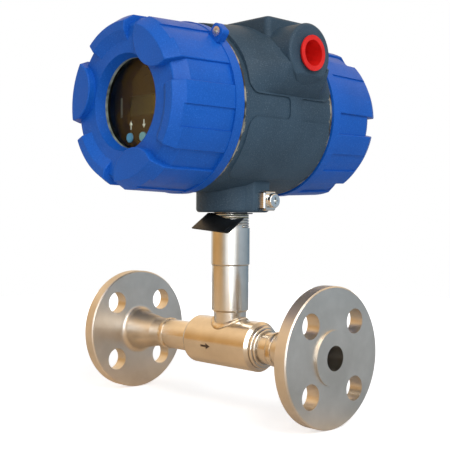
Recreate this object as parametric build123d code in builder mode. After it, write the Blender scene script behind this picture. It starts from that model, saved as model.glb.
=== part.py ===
from build123d import *
from math import cos, radians, sin, sqrt
import os

# Thermal mass flow meter with flanged pipe ends and a two-chamber transmitter head.
# Millimetres. The origin is the centre of the inlet flange's raised face.
# +X is the flow direction, +Z runs up the neck, and the display looks towards -Y.

os.makedirs("parts", exist_ok=True)

# Clearances
seat_gap = 0.3
fit_gap = 0.1

# Process flanges: half-inch weld-neck flanges and the pipe between them
face_to_face = 203.2
bore_r = 7.9
pipe_r = 10.65
flange_r = 44.45
flange_plate = 9.6
raised_r = 17.45
raised_step = 1.6
rim_chamfer = 0.8
bolt_circle_r = 30.15
bolt_hole_r = 7.95
bolt_count = 4
hub_base_r = 15.1
hub_length = 47.6
hub_land = 12.0
hub_fillet = 4.0

# Butt welds at the flange hubs and fillet welds at the flow body
groove_half = 2.2
groove_root = 1.2
bead_overlap = 0.5
bead_height = 0.9
body_weld_leg = 3.9
body_weld_bulge = 0.5

# Flow body
stem_x = 110.7
body_r = 16.7
body_half = 31.1
body_edge = 2.0
socket_depth = 9.5
sensor_bore_r = 8.5
branch_r = 8.2
branch_seat = 11.0

# Neck: spigot, spacer tube and threaded adapter, all along Z
spigot_r = 11.1
spigot_top = 20.9
neck_weld_leg = 2.2
tube_r = 12.65
tube_wall = 2.45
tube_foot_r = 11.3
tube_foot = 0.7
tube_top = 53.3
adapter_r = 13.35
adapter_edge = 1.0
adapter_top = 79.2
adapter_bore_r = 9.0
thread_start_r = 11.9
thread_end_r = 11.25
thread_length = 21.8
tape_bottom = 84.8
tape_thick = 0.6

# Sensor
holder_length = 10.0
probe_r = 1.6
probe_spacing = 8.0
probe_tip = -2.5
probe_tail = 3.0
lead_r = 1.8

# Head: case turned about an axis along Y
case_bottom = 102.9
case_r = 54.4
case_half = 41.6
rim_drop = 0.4
rim_step = 1.4
thread_neck_in_case = 4.9
thread_neck_length = 15.4
chamber_in_case = 9.4
wall_front = -16.0
wall_back = -10.0

# Raised pads on both sides of the case
pad_height = 1.1
pad_front_margin = 4.6
pad_back_margin = 1.1
pad_gap_top = 6.8
pad_gap_bottom = -7.8
pad_low_edge = -45.6
pad_corner = 8.0
bridge_half = 5.0
bridge_corner = 3.0

# Conduit ports and the block that joins them over the top
port_y = 4.4
port_drop = 20.4
port_boss_r = 19.4
port_boss_rise = 13.0
port_boss_edge = 2.0
port_boss_foot = 20.4
port_boss_root = 24.0
port_r = 10.0
block_reach = 48.0
block_half = 19.0
block_rise = 4.1
block_corner = 4.0
block_edge = 2.0

# Swellings that run from the ends of the pads up to the port block
swell_r = 74.0
swell_shift = 6.0
swell_crest = 3.0
swell_tip = 0.5
swell_flank_inset = 4.9
swell_flank_height = 15.5
swell_foot_turn = 7.8
swell_middle_turn = 30.0
swell_end_rise = 1.1
swell_sink = 0.4
swell_core = 20.0

# Boss under the case for the neck, with a flat ear for the earth terminal
neck_boss_r = 23.8
neck_boss_bottom = 89.8
neck_boss_edge = 2.3
boss_corner = 4.0
ear_reach = 27.4
ear_y = 2.4
ear_half = 7.2
ear_flare = -8.3
ear_edge = 2.4
passage_r = 8.0
gland_length = 6.0

# Covers: lengths run outward from a cover's open end
band_past_case = 1.2
band_length = 7.2
seal_seat_in_case = 2
seal_seat_depth = 3.3
cover_thread_gap = 0.45
cover_thread_length = 15.2
cover_inner_in_case = 7.4
cover_plate = 8.5
cover_length = 49.2
lug_back_past_case = 0.7
lug_front_in_case = 0.5
lug_bevel_length = 9.0
lug_drop = 1.5
lug_span = 45.0
lug_pairs = 3
lug_root_in_case = 3.4
low_lug_rise = 3.8
low_lug_inner_in_case = 10.8
low_lug_foot_in_case = 16.9
high_lug_rise = 5.2
high_lug_edge_in_case = 5.9
high_lug_centre_in_case = 3.4
high_lug_pad_r = 20.0
recess_bevel_in_case = 7.5
recess_bevel_length = 8.5
groove_span = 15.0
groove_depth = 0.9
lug_edge = 0.8
face_edge = 1.5
band_edge = 0.6
front_lug_turn = -12.5
rear_lug_turn = 96.5
front_lock_turn = 47.5
rear_lock_turn = 36.5

# Cover lock lugs and their socket screws
lock_width = 10.4
lock_top_past_case = 8.8
lock_root_in_case = 1.9
lock_corner = 2.4
lock_edge = 0.8
lock_inset = 3.8
lock_length = 5.6
lock_screw_circle_past_case = 4.8
lock_screw_r = 3.1
lock_screw_proud = 0.2
lock_socket = 3.0
lock_socket_depth = 2.4

# Window
window_outer_r = 30.2
window_r = 28.1
window_depth = 6.5
glass_r = 34.0
glass_thick = 6.0
gasket_thick = 2.0
glass_boss_r = 42.0
glass_ring_inner_r = 31.0
glass_ring_thick = 3.1

# Display
bezel_gap = 0.7
bezel_r = 41.0
bezel_depth = 14.2
bezel_face = 3.2
bezel_ledge_r = 31.5
fascia_r = 33.0
fascia_thick = 1.2
fascia_sink = 0.7
screen_width = 32.6
screen_height = 12.6
screen_recess = 0.4
screen_frame = 2.0
button_r = 3.05
button_sink = 0.1
button_travel = 0.6
button_collar_r = 4.0
button_collar = 1.0
button_height = -20.0
left_button_x = -15.9
right_button_x = -2.9
board_r = 37.5
board_thick = 1.6
board_sink = 8.6
switch_size = 6.0
switch_height = 2.8

# Electronics, terminals and the posts that carry them
module_r = 39.0
module_front = 36.0
module_thick = 12.0
module_edge = 2.0
post_r = 3.0
post_circle_r = 31.0
post_count = 3
post_turn = 30.0
terminal_board_r = 38.0
terminal_board_y = 22.0
terminal_pitch = 8.6
terminal_count = 6
terminal_depth = 11.0
terminal_height = 13.0
terminal_shelf = 4.0
terminal_base = 5.0
terminal_low = -14.0
terminal_screw_r = 2.5
terminal_screw_height = 3.0
terminal_slot = 0.8

# Port plugs
plug_rim_r = 11.35
plug_proud = 2.6
plug_rim = 0.9
plug_depth = 17.0
plug_wall = 1.4

# Earth clamp on the ear
clamp_width = 12.4
clamp_height = 13.4
clamp_depth = 6.1
clamp_sheet = 1.0
clamp_bend = 1.6
clamp_relief = 1.7
earth_z = 97.7
earth_screw_r = 2.4
earth_screw_length = 16.0
earth_head_r = 4.85
earth_head = 3.0
earth_head_round = 0.9
washer_r = 5.0
washer_thick = 1.3
cross_width = 1.1
cross_length = 4.6
cross_depth = 1.7

# Tag: a thin sheet bent down from a ring that lies under the neck boss
tag_sheet = 0.8
tag_ring_r = 15.2
tag_bend_y = -13.4
tag_slope = 34.0
tag_left = -8.6
tag_right = 30.3
tag_left_length = 18.1
tag_right_length = 22.8
tag_dip_x = 20.0
tag_dip = 7.2
tag_shoulder = 5.8
tag_corner = 2.0
tag_slot_x = 26.0
tag_slot_start = 14.8
tag_slot_end = 21.0
tag_slot_width = 1.3

# Values that follow from the sizes above
plate_back = raised_step + flange_plate
axis_z = case_bottom + case_r
head_centre = (stem_x, 0, axis_z)
chamber_r = case_r - chamber_in_case
thread_neck_r = case_r - thread_neck_in_case
band_r = case_r + band_past_case
seal_seat_r = case_r - seal_seat_in_case
cover_inner_r = case_r - cover_inner_in_case
lug_back_r = case_r + lug_back_past_case
lug_front_r = case_r - lug_front_in_case
lug_root_r = case_r - lug_root_in_case
low_lug_inner_r = case_r - low_lug_inner_in_case
low_lug_foot_r = case_r - low_lug_foot_in_case
high_lug_edge_r = case_r - high_lug_edge_in_case
high_lug_centre_r = case_r - high_lug_centre_in_case
recess_bevel_r = case_r - recess_bevel_in_case
lock_top_r = case_r + lock_top_past_case
lock_root_r = case_r - lock_root_in_case
lock_screw_circle_r = case_r + lock_screw_circle_past_case
rim_half = case_half + rim_step
thread_neck_half = case_half + thread_neck_length
pad_r = case_r + pad_height
pad_front = pad_front_margin - case_half
pad_back = case_half - pad_back_margin
port_height = case_r - port_drop
port_boss_reach = case_r + port_boss_rise
plug_rim_front = port_boss_reach + plug_proud
block_height = case_r + block_rise
swell_flank_reach = port_boss_reach - swell_flank_inset
thread_top = adapter_top + thread_length
holder_r = branch_r - fit_gap
holder_bottom = spigot_top - holder_length
cover_back = rim_half + seat_gap
band_front = cover_back + band_length
seal_seat_front = cover_back + seal_seat_depth
cover_thread_front = cover_back + cover_thread_length
cover_face = cover_back + cover_length
lock_back = cover_back + lock_inset
lock_front = lock_back + lock_length
high_lug_face = cover_face + high_lug_rise
low_lug_face = cover_face + low_lug_rise
lug_shoulder = high_lug_face - lug_bevel_length
plate_inner = cover_face - cover_plate
window_seat = cover_face - window_depth
glass_front = window_seat - gasket_thick
glass_back = glass_front - glass_thick
ring_back = glass_back - glass_ring_thick
pocket_r = glass_r + seat_gap
cover_thread_r = thread_neck_r + cover_thread_gap
seal_wire_r = (seal_seat_r - thread_neck_r) / 2 - seat_gap
seal_r = (seal_seat_r + thread_neck_r) / 2
seal_out = (rim_half + seal_seat_front) / 2
bezel_front = ring_back - bezel_gap
fascia_front = bezel_front - fascia_sink
fascia_back = fascia_front - fascia_thick
board_front = bezel_front - board_sink
board_back = board_front - board_thick
module_back = module_front - module_thick
clamp_face = ear_reach + clamp_depth
head_back = clamp_face + washer_thick
button_places = {"left_button": left_button_x, "right_button": right_button_x}


def thread_r(z):
    """Radius of the tapered neck thread at a height."""
    share = (z - adapter_top) / thread_length
    return thread_start_r + (thread_end_r - thread_start_r) * share


def lug_side_r(distance):
    """Radius of the lugs' long side, which tapers slightly towards the face."""
    share = (distance - band_front) / (lug_shoulder - band_front)
    return lug_back_r + (lug_front_r - lug_back_r) * share


def lug_bevel_r(distance):
    """Radius of the bevel that joins the lugs' side to their faces."""
    share = (distance - lug_shoulder) / lug_bevel_length
    return lug_front_r + (high_lug_edge_r - lug_front_r) * share


def pipe_section(face_x, inward):
    """Section plane with its first axis along the pipe, away from a flange face."""
    return Plane(origin=(face_x, 0, 0), x_dir=(inward, 0, 0), z_dir=(0, 0, 1))


def head_section(side, turn=90.0, centre=head_centre):
    """Radial section of the head: first axis outward along Y, second axis at an angle."""
    tilt = radians(turn)
    return Plane(
        origin=centre,
        x_dir=(0, side, 0),
        z_dir=(side * sin(tilt), 0, cos(tilt)),
    )


def head_face(side, distance, centre=head_centre):
    """Plane square to the head's axis, seen from outside, with its second axis up."""
    return Plane(
        origin=(centre[0], side * distance, centre[2]),
        x_dir=(-side, 0, 0),
        z_dir=(0, side, 0),
    )


def head_axis(side, centre=head_centre):
    """The head's axis, pointing out of one of its two covers."""
    return Axis(centre, (0, side, 0))


def level(z):
    """Horizontal plane on the neck's axis."""
    return Plane(origin=(stem_x, 0, z), x_dir=(1, 0, 0), z_dir=(0, 0, 1))


def port_plane(side, reach):
    """Plane square to a conduit port, facing out of it."""
    return Plane(
        origin=(stem_x + side * reach, port_y, axis_z + port_height),
        x_dir=(0, side, 0),
        z_dir=(side, 0, 0),
    )


neck_section = Plane(origin=(stem_x, 0, 0), x_dir=(1, 0, 0), z_dir=(0, -1, 0))
neck_axis = Axis((stem_x, 0, 0), (0, 0, 1))
head_middle = Plane(origin=(stem_x, 0, axis_z), x_dir=(0, 1, 0), z_dir=(1, 0, 0))


# Flanges
def weld_neck_flange(face_x, inward):
    with BuildPart() as flange:
        with BuildSketch(pipe_section(face_x, inward)) as outline:
            with BuildLine():
                Polyline(
                    (0, bore_r),
                    (0, raised_r),
                    (raised_step, raised_r),
                    (raised_step, flange_r - rim_chamfer),
                    (raised_step + rim_chamfer, flange_r),
                    (plate_back - rim_chamfer, flange_r),
                    (plate_back, flange_r - rim_chamfer),
                    (plate_back, hub_base_r),
                    (hub_length - hub_land, pipe_r),
                    (hub_length - groove_half, pipe_r),
                    (hub_length, bore_r + groove_root),
                    (hub_length, bore_r),
                    close=True,
                )
            make_face()
            hub_foot = outline.vertices().sort_by_distance((plate_back, hub_base_r))[0]
            fillet(hub_foot, hub_fillet)
        revolve(axis=Axis.X)
        with BuildSketch(Plane(origin=(face_x, 0, 0), x_dir=(0, 1, 0), z_dir=(inward, 0, 0))):
            with PolarLocations(bolt_circle_r, bolt_count, start_angle=180 / bolt_count):
                Circle(bolt_hole_r)
        extrude(amount=plate_back, mode=Mode.SUBTRACT)
    return flange.part


for name, face_x, inward in (("inlet_flange", 0, 1), ("outlet_flange", face_to_face, -1)):
    flange = weld_neck_flange(face_x, inward)
    flange.label = name
    export_step(flange, f"parts/{name}.step")


# Pipe nipples between the flange hubs and the flow body
def pipe_nipple(face_x, inward):
    body_face = abs(stem_x - face_x) - body_half
    with BuildPart() as pipe:
        with BuildSketch(pipe_section(face_x, inward)):
            with BuildLine():
                Polyline(
                    (hub_length, bore_r),
                    (hub_length, bore_r + groove_root),
                    (hub_length + groove_half, pipe_r),
                    (body_face + socket_depth, pipe_r),
                    (body_face + socket_depth, bore_r),
                    close=True,
                )
            make_face()
        revolve(axis=Axis.X)
    return pipe.part


for name, face_x, inward in (("inlet_pipe", 0, 1), ("outlet_pipe", face_to_face, -1)):
    pipe = pipe_nipple(face_x, inward)
    pipe.label = name
    export_step(pipe, f"parts/{name}.step")


# Butt welds: each fills its groove and stands proud in a low crown
def hub_weld(face_x, inward):
    crown_half = groove_half + bead_overlap
    with BuildPart() as weld:
        with BuildSketch(pipe_section(face_x, inward)):
            with BuildLine():
                Polyline(
                    (hub_length + crown_half, pipe_r),
                    (hub_length + groove_half, pipe_r),
                    (hub_length, bore_r + groove_root),
                    (hub_length - groove_half, pipe_r),
                    (hub_length - crown_half, pipe_r),
                )
                ThreePointArc(
                    (hub_length - crown_half, pipe_r),
                    (hub_length, pipe_r + bead_height),
                    (hub_length + crown_half, pipe_r),
                )
            make_face()
        revolve(axis=Axis.X)
    return weld.part


for name, face_x, inward in (("inlet_hub_weld", 0, 1), ("outlet_hub_weld", face_to_face, -1)):
    weld = hub_weld(face_x, inward)
    weld.label = name
    export_step(weld, f"parts/{name}.step")


# Fillet welds between the pipe and the flow body's ends, with a bulging face
def body_weld(face_x, inward):
    body_face = abs(stem_x - face_x) - body_half
    middle = body_weld_leg / 2 + body_weld_bulge
    with BuildPart() as weld:
        with BuildSketch(pipe_section(face_x, inward)):
            with BuildLine():
                Polyline(
                    (body_face - body_weld_leg, pipe_r),
                    (body_face, pipe_r),
                    (body_face, pipe_r + body_weld_leg),
                )
                ThreePointArc(
                    (body_face, pipe_r + body_weld_leg),
                    (body_face - middle, pipe_r + middle),
                    (body_face - body_weld_leg, pipe_r),
                )
            make_face()
        revolve(axis=Axis.X)
    return weld.part


for name, face_x, inward in (("inlet_body_weld", 0, 1), ("outlet_body_weld", face_to_face, -1)):
    weld = body_weld(face_x, inward)
    weld.label = name
    export_step(weld, f"parts/{name}.step")


# Flow body: a bar bored through, with a pipe socket in each end and a branch on top
body_socket_r = pipe_r + fit_gap
with BuildPart() as flow_body:
    with BuildSketch(Plane(origin=(stem_x, 0, 0), x_dir=(0, 1, 0), z_dir=(1, 0, 0))):
        Circle(body_r)
    extrude(amount=body_half, both=True)
    inlet_rim = flow_body.edges().filter_by(GeomType.CIRCLE).sort_by(Axis.X)[0]
    fillet(inlet_rim, body_edge)
    outlet_rim = flow_body.edges().filter_by(GeomType.CIRCLE).sort_by(Axis.X)[-1]
    chamfer(outlet_rim, body_edge)
    with BuildSketch(Plane(origin=(stem_x, 0, 0), x_dir=(0, 1, 0), z_dir=(1, 0, 0))):
        Circle(sensor_bore_r)
    extrude(amount=body_half, both=True, mode=Mode.SUBTRACT)
    for side in (-1, 1):
        end = Plane(origin=(stem_x + side * body_half, 0, 0), x_dir=(0, 1, 0), z_dir=(-side, 0, 0))
        with BuildSketch(end):
            Circle(body_socket_r)
        extrude(amount=socket_depth, mode=Mode.SUBTRACT)
    with BuildSketch(level(0)):
        Circle(branch_r)
    extrude(amount=body_r, mode=Mode.SUBTRACT)
    with BuildSketch(level(branch_seat)):
        Circle(spigot_r + fit_gap)
    extrude(amount=body_r, mode=Mode.SUBTRACT)
flow_body.part.label = "flow_body"
export_step(flow_body.part, "parts/flow_body.step")


# Neck spigot, set in the branch of the flow body
with BuildPart() as neck_spigot:
    with BuildSketch(level(branch_seat)):
        Circle(spigot_r)
        Circle(branch_r, mode=Mode.SUBTRACT)
    extrude(amount=spigot_top - branch_seat)
neck_spigot.part.label = "neck_spigot"
export_step(neck_spigot.part, "parts/neck_spigot.step")


# Weld round the spigot: it follows the saddle where the spigot meets the round body
with BuildPart() as neck_weld:
    with BuildSketch(level(branch_seat)):
        Circle(spigot_r + neck_weld_leg)
        Circle(spigot_r, mode=Mode.SUBTRACT)
    extrude(amount=spigot_top - branch_seat)
    with BuildSketch(Plane(origin=(stem_x, 0, 0), x_dir=(0, 1, 0), z_dir=(1, 0, 0))):
        Circle(body_r + neck_weld_leg)
        Circle(body_r, mode=Mode.SUBTRACT)
    extrude(amount=body_half, both=True, mode=Mode.INTERSECT)
    weld_top = neck_weld.faces().sort_by(Axis.Z)[-1]
    outer_top = weld_top.edges().sort_by(SortBy.LENGTH)[-1]
    chamfer(outer_top, neck_weld_leg * 0.8)
neck_weld.part.label = "neck_weld"
export_step(neck_weld.part, "parts/neck_weld.step")


# Spacer tube between the spigot and the threaded adapter
foot_slope = tube_r - tube_foot_r
with BuildPart() as neck_tube:
    with BuildSketch(neck_section):
        with BuildLine():
            Polyline(
                (tube_r - tube_wall, spigot_top),
                (tube_foot_r, spigot_top),
                (tube_foot_r, spigot_top + tube_foot),
                (tube_r, spigot_top + tube_foot + foot_slope),
                (tube_r, tube_top),
                (tube_r - tube_wall, tube_top),
                close=True,
            )
        make_face()
    revolve(axis=neck_axis)
neck_tube.part.label = "neck_tube"
export_step(neck_tube.part, "parts/neck_tube.step")


# Threaded adapter that carries the head on a tapered thread
with BuildPart() as neck_adapter:
    with BuildSketch(neck_section):
        with BuildLine():
            Polyline(
                (adapter_bore_r, tube_top),
                (adapter_r - adapter_edge, tube_top),
                (adapter_r, tube_top + adapter_edge),
                (adapter_r, adapter_top),
                (thread_r(adapter_top), adapter_top),
                (thread_r(thread_top), thread_top),
                (adapter_bore_r, thread_top),
                close=True,
            )
        make_face()
    revolve(axis=neck_axis)
neck_adapter.part.label = "neck_adapter"
export_step(neck_adapter.part, "parts/neck_adapter.step")


# Sealing tape wound on the thread, just below the head
tag_ring_top = neck_boss_bottom - seat_gap
tape_top = tag_ring_top - tag_sheet
with BuildPart() as thread_tape:
    with BuildSketch(neck_section):
        with BuildLine():
            Polyline(
                (thread_r(tape_bottom), tape_bottom),
                (thread_r(tape_bottom) + tape_thick, tape_bottom),
                (thread_r(tape_top) + tape_thick, tape_top),
                (thread_r(tape_top), tape_top),
                close=True,
            )
        make_face()
    revolve(axis=neck_axis)
thread_tape.part.label = "thread_tape"
export_step(thread_tape.part, "parts/thread_tape.step")


# Sensor holder in the branch, with the two probes that reach into the flow
with BuildPart() as sensor_holder:
    with BuildSketch(level(holder_bottom)):
        Circle(holder_r)
        with GridLocations(probe_spacing, 0, 2, 1):
            Circle(probe_r + fit_gap, mode=Mode.SUBTRACT)
    extrude(amount=holder_length)
sensor_holder.part.label = "sensor_holder"
export_step(sensor_holder.part, "parts/sensor_holder.step")

for name, side in (("reference_sensor", -1), ("heated_sensor", 1)):
    with BuildPart() as probe:
        with BuildSketch(level(probe_tip)):
            with Locations((side * probe_spacing / 2, 0)):
                Circle(probe_r)
        extrude(amount=spigot_top + probe_tail - probe_tip)
        fillet(probe.edges().sort_by(Axis.Z)[0], probe_r * 0.9)
    probe.part.label = name
    export_step(probe.part, f"parts/{name}.step")

# The probes' lead, and the sealed gland where it enters the head
gland_bottom = thread_top + seat_gap
with BuildPart() as sensor_lead:
    with BuildSketch(level(spigot_top)):
        Circle(lead_r)
    extrude(amount=gland_bottom - spigot_top)
sensor_lead.part.label = "sensor_lead"
export_step(sensor_lead.part, "parts/sensor_lead.step")

with BuildPart() as neck_gland:
    with BuildSketch(level(gland_bottom)):
        Circle(passage_r - fit_gap)
    extrude(amount=gland_length)
neck_gland.part.label = "neck_gland"
export_step(neck_gland.part, "parts/neck_gland.step")


# Tag ring under the neck boss, bent down along a line in front of the neck
tag_hole_r = adapter_r + seat_gap
tag_ring_bottom = tag_ring_top - tag_sheet
tag_tilt = radians(tag_slope)
tag_plane = Plane(
    origin=(stem_x, tag_bend_y, tag_ring_top),
    x_dir=(1, 0, 0),
    z_dir=(0, sin(tag_tilt), -cos(tag_tilt)),
)
with BuildPart() as tag_plate:
    with BuildSketch(level(tag_ring_bottom)):
        Circle(tag_ring_r)
        with Locations((0, tag_bend_y - tag_ring_r)):
            Rectangle(2 * tag_ring_r, 2 * tag_ring_r, mode=Mode.SUBTRACT)
        Circle(tag_hole_r, mode=Mode.SUBTRACT)
    extrude(amount=tag_sheet)
    with BuildSketch(tag_plane) as flap:
        with BuildLine():
            Spline(
                (tag_left, 0),
                (tag_dip_x, tag_dip),
                (tag_right, tag_shoulder),
                tangents=[(1, 0.1), (1, -0.4)],
            )
            Polyline(
                (tag_right, tag_shoulder),
                (tag_right, tag_right_length),
                (tag_left, tag_left_length),
                (tag_left, 0),
            )
        make_face()
        low_corner = flap.vertices().sort_by_distance((tag_right, tag_right_length))[0]
        fillet(low_corner, tag_corner)
        with Locations((tag_slot_x, (tag_slot_start + tag_slot_end) / 2)):
            SlotOverall(tag_slot_end - tag_slot_start, tag_slot_width, rotation=90, mode=Mode.SUBTRACT)
    extrude(amount=tag_sheet)
tag_plate.part.label = "tag_plate"
export_step(tag_plate.part, "parts/tag_plate.step")


# Head case
def swell_plane(y):
    return Plane(origin=(stem_x, y, axis_z), x_dir=(1, 0, 0), z_dir=(0, -1, 0))


def polar(radius, turn):
    return (radius * cos(radians(turn)), radius * sin(radians(turn)))


def swell_end(y):
    """Small end of a swelling: a slice that stands a little above the pads and ends inside them."""
    low_r = pad_r - swell_sink
    top_r = pad_r + swell_end_rise
    middle_r = (low_r + top_r) / 2
    foot = polar(low_r, swell_foot_turn)
    joint = polar(top_r, swell_middle_turn)
    first_middle = polar(top_r, (90 + swell_middle_turn) / 2)
    last_middle = polar(middle_r, (swell_middle_turn + swell_foot_turn) / 2)
    with BuildSketch(swell_plane(y)) as slice_end:
        with BuildLine():
            Line((0, swell_core), (0, top_r))
            ThreePointArc((0, top_r), first_middle, joint)
            ThreePointArc(joint, last_middle, foot)
            Polyline(foot, (swell_core, swell_core), (0, swell_core))
        make_face()
    return slice_end.sketch


def swell_middle(y):
    """Large end of a swelling: a flat-topped arc that reaches out to the port's face."""
    centre_height = case_r + swell_crest - swell_r
    tip_reach = port_boss_reach - swell_tip

    def arc_height(reach):
        return centre_height + sqrt(swell_r**2 - (reach - swell_shift) ** 2)

    half_reach = tip_reach * 0.6
    foot = polar(pad_r - swell_sink, swell_foot_turn)
    top = (0, arc_height(swell_shift))
    tip = (tip_reach, arc_height(tip_reach))
    flank = (swell_flank_reach, swell_flank_height)
    with BuildSketch(swell_plane(y)) as slice_middle:
        with BuildLine():
            Line((0, swell_core), top)
            ThreePointArc(top, (half_reach, arc_height(half_reach)), tip)
            ThreePointArc(tip, flank, foot)
            Polyline(foot, (swell_core, swell_core), (0, swell_core))
        make_face()
    return slice_middle.sketch


# H-shaped outline of the pads, square through the head, and the pads as a skin of the round case
with BuildPart() as pad_outline:
    with BuildSketch(head_middle) as outline:
        pad_middle = (pad_front + pad_back) / 2
        pad_length = pad_back - pad_front
        upper_height = 2 * block_height
        lower_height = pad_gap_bottom - pad_low_edge
        with Locations((pad_middle, pad_gap_top + upper_height / 2)):
            RectangleRounded(pad_length, upper_height, pad_corner)
        with Locations((pad_middle, pad_gap_bottom - lower_height / 2)):
            RectangleRounded(pad_length, lower_height, pad_corner)
        with Locations((port_y, (pad_gap_top + pad_gap_bottom) / 2)):
            Rectangle(2 * bridge_half, pad_gap_top - pad_gap_bottom)
        gap_corners = outline.vertices().filter_by_position(
            Axis.X, port_y - bridge_half - fit_gap, port_y + bridge_half + fit_gap
        )
        fillet(gap_corners, bridge_corner)
    extrude(amount=2 * pad_r, both=True)

with BuildPart() as pad_barrel:
    with BuildSketch(head_face(1, -case_half)):
        Circle(pad_r)
    extrude(amount=2 * case_half)

with BuildPart() as pads:
    add(pad_outline.part)
    add(pad_barrel.part, mode=Mode.INTERSECT)

# Swellings over the pads, cut to the pads' outline
block_front = port_y - block_half
block_back = port_y + block_half
with BuildPart() as swell_front:
    loft([swell_middle(block_front).face(), swell_end(pad_front).face()])
with BuildPart() as swell_bridge:
    extrude(swell_middle(block_back).face(), amount=2 * block_half)
with BuildPart() as swell_back:
    loft([swell_end(pad_back).face(), swell_middle(block_back).face()])
with BuildPart() as swell:
    add(swell_front.part)
    add(swell_bridge.part)
    add(swell_back.part)
    mirror(about=Plane.YZ.offset(stem_x))
    add(pad_outline.part, mode=Mode.INTERSECT)

# Block over the top between the ports
with BuildPart() as port_block:
    with BuildSketch(level(axis_z)):
        with Locations((0, port_y)):
            RectangleRounded(2 * block_reach, 2 * block_half, block_corner)
    extrude(amount=block_height)
    fillet(port_block.faces().sort_by(Axis.Z)[-1].edges(), block_edge)

# Space that the port bosses fill, from the case's wall outward
with BuildPart() as boss_space:
    for side in (-1, 1):
        with BuildSketch(port_plane(side, port_boss_root)):
            Circle(port_boss_r)
        extrude(amount=port_boss_reach)

# Port bosses from the chambers out to their faces, cut slanting at the foot
for name, side in (("left_port_boss", -1), ("right_port_boss", 1)):
    with BuildPart() as port_boss:
        with BuildSketch(port_plane(side, port_boss_root)):
            Circle(port_boss_r)
        extrude(amount=port_boss_reach - port_boss_root)
        with BuildSketch(swell_plane(port_y)):
            with BuildLine():
                Polyline(
                    (side * port_boss_reach, port_boss_foot),
                    (side * port_boss_reach, 0),
                    (side * (port_boss_reach - port_boss_foot), 0),
                    close=True,
                )
            make_face()
        extrude(amount=2 * port_boss_r, both=True, mode=Mode.SUBTRACT)
        outward = Axis((0, 0, 0), (side, 0, 0))
        fillet(port_boss.faces().sort_by(outward)[-1].edges(), port_boss_edge)
        with BuildSketch(port_plane(side, port_boss_root)):
            Circle(port_r)
        extrude(amount=port_boss_reach, mode=Mode.SUBTRACT)
        with BuildSketch(head_face(1, -case_half)):
            Circle(chamber_r)
        extrude(amount=2 * case_half, mode=Mode.SUBTRACT)
    port_boss.part.label = name
    export_step(port_boss.part, f"parts/{name}.step")

# Saddle between the port bosses: the swellings and the block, lying on the pads
with BuildPart() as port_saddle:
    add(swell.part)
    add(port_block.part)
    add(pad_barrel.part, mode=Mode.SUBTRACT)
    add(boss_space.part, mode=Mode.SUBTRACT)
port_saddle.part.label = "port_saddle"
export_step(port_saddle.part, "parts/port_saddle.step")

# Neck boss and the ear beside it
with BuildPart() as neck_boss:
    with BuildSketch(level(neck_boss_bottom)) as footprint:
        Circle(neck_boss_r)
        ear_front = ear_y - ear_half
        ear_back = ear_y + ear_half
        with BuildLine():
            Polyline(
                (0, ear_flare),
                (sqrt(neck_boss_r**2 - ear_flare**2), ear_flare),
                (ear_reach, ear_front),
                (ear_reach, ear_back),
                (0, ear_back),
                close=True,
            )
        make_face()
        corners = footprint.vertices()
        fillet(corners.sort_by_distance((ear_reach, ear_front))[0], ear_edge)
        fillet(corners.sort_by_distance((ear_reach, ear_back))[0], ear_edge)
        back_corner = (sqrt(neck_boss_r**2 - ear_back**2), ear_back)
        fillet(corners.sort_by_distance(back_corner)[0], boss_corner)
    extrude(amount=axis_z - neck_boss_bottom - chamber_r)
    fillet(neck_boss.faces().sort_by(Axis.Z)[0].outer_wire().edges(), neck_boss_edge)

# Bore of the neck: the tapered thread and the passage above it
with BuildPart() as neck_bore:
    with BuildSketch(neck_section):
        with BuildLine():
            Polyline(
                (0, neck_boss_bottom),
                (thread_r(neck_boss_bottom) + fit_gap, neck_boss_bottom),
                (thread_r(thread_top) + fit_gap, thread_top + seat_gap),
                (passage_r, thread_top + seat_gap),
                (passage_r, axis_z - chamber_r + seat_gap),
                (0, axis_z - chamber_r + seat_gap),
                close=True,
            )
        make_face()
    revolve(axis=neck_axis)

with BuildPart() as stem_boss:
    add(neck_boss.part)
    with BuildSketch(head_face(1, -case_half)):
        Circle(case_r)
    extrude(amount=2 * case_half, mode=Mode.SUBTRACT)
    add(neck_bore.part, mode=Mode.SUBTRACT)
    screw_hole = Plane(origin=(stem_x + ear_reach, port_y, earth_z), x_dir=(0, 1, 0), z_dir=(-1, 0, 0))
    with BuildSketch(screw_hole):
        Circle(earth_screw_r + fit_gap)
    extrude(amount=earth_screw_length - (head_back - ear_reach) + seat_gap, mode=Mode.SUBTRACT)
stem_boss.part.label = "stem_boss"
export_step(stem_boss.part, "parts/stem_boss.step")

# Seats for the port bosses in the case's wall
with BuildPart() as boss_seats:
    add(boss_space.part)
    with BuildSketch(head_face(1, -case_half)):
        Circle(chamber_r)
    extrude(amount=2 * case_half, mode=Mode.SUBTRACT)

# Round case with its pads, the thread necks and the chambers
with BuildPart() as housing:
    with BuildSketch(head_section(1)):
        with BuildLine():
            Polyline(
                (-thread_neck_half, 0),
                (-thread_neck_half, thread_neck_r),
                (-rim_half, thread_neck_r),
                (-rim_half, case_r - rim_drop),
                (-case_half, case_r - rim_drop),
                (-case_half, case_r),
                (case_half, case_r),
                (case_half, case_r - rim_drop),
                (rim_half, case_r - rim_drop),
                (rim_half, thread_neck_r),
                (thread_neck_half, thread_neck_r),
                (thread_neck_half, 0),
                close=True,
            )
        make_face()
    revolve(axis=head_axis(1))
    add(pads.part)
    add(boss_seats.part, mode=Mode.SUBTRACT)
    add(neck_bore.part, mode=Mode.SUBTRACT)
    with BuildSketch(head_face(-1, -wall_front)):
        Circle(chamber_r)
    extrude(amount=thread_neck_half, mode=Mode.SUBTRACT)
    with BuildSketch(head_face(1, wall_back)):
        Circle(chamber_r)
    extrude(amount=2 * thread_neck_half, mode=Mode.SUBTRACT)
housing.part.label = "housing"
export_step(housing.part, "parts/housing.step")


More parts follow.
